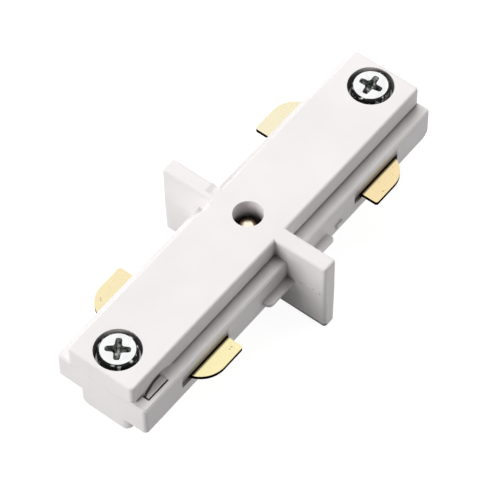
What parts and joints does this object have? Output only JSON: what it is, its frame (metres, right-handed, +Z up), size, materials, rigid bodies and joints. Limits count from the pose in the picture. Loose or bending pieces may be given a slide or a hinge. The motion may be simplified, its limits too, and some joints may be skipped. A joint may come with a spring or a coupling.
{
  "type": "track light straight connector",
  "caption": "Straight connector that joins two lengths of surface lighting track, with brass contact blades and a locking screw at each end.",
  "frame": {"origin": "on the plane of the wing feet, under the centre hole", "axes": "+X along the body towards the far screw, +Z up out of the top cover, +Y towards the back wing"},
  "size_m": [0.079, 0.035, 0.0174],
  "materials": {
    "white_plastic": "white moulded thermoplastic, satin",
    "brass": "rolled brass strip, bright",
    "plated_steel": "bright zinc plated steel"
  },
  "bodies": {
    "connector_body": {"base_housing": "white_plastic", "top_cover": "white_plastic", "contact_strip_front": "brass", "contact_strip_back": "brass", "ground_strip": "brass", "centre_rivet": "brass"},
    "near_washer": {"near_lock_washer": "plated_steel"},
    "near_screw": {"near_lock_screw": "plated_steel"},
    "far_washer": {"far_lock_washer": "plated_steel"},
    "far_screw": {"far_lock_screw": "plated_steel"}
  },
  "joints": [
    {"name": "near_screw_travel", "type": "slide", "parent": "connector_body", "child": "near_washer", "axis": [0, 0, -1], "range_m": [0, 0.003]},
    {"name": "near_screw_turn", "type": "hinge", "parent": "near_washer", "child": "near_screw", "pos_m": [-0.03463, 0, 0.0145], "axis": [0, 0, -1], "range_deg": [0, 1543]},
    {"name": "far_screw_travel", "type": "slide", "parent": "connector_body", "child": "far_washer", "axis": [0, 0, -1], "range_m": [0, 0.003]},
    {"name": "far_screw_turn", "type": "hinge", "parent": "far_washer", "child": "far_screw", "pos_m": [0.03463, 0, 0.0145], "axis": [0, 0, -1], "range_deg": [0, 1543]}
  ],
  "couplings": [
    {"joint": "near_screw_turn", "follows": "near_screw_travel", "rad_per_m": 8976},
    {"joint": "far_screw_turn", "follows": "far_screw_travel", "rad_per_m": 8976}
  ]
}
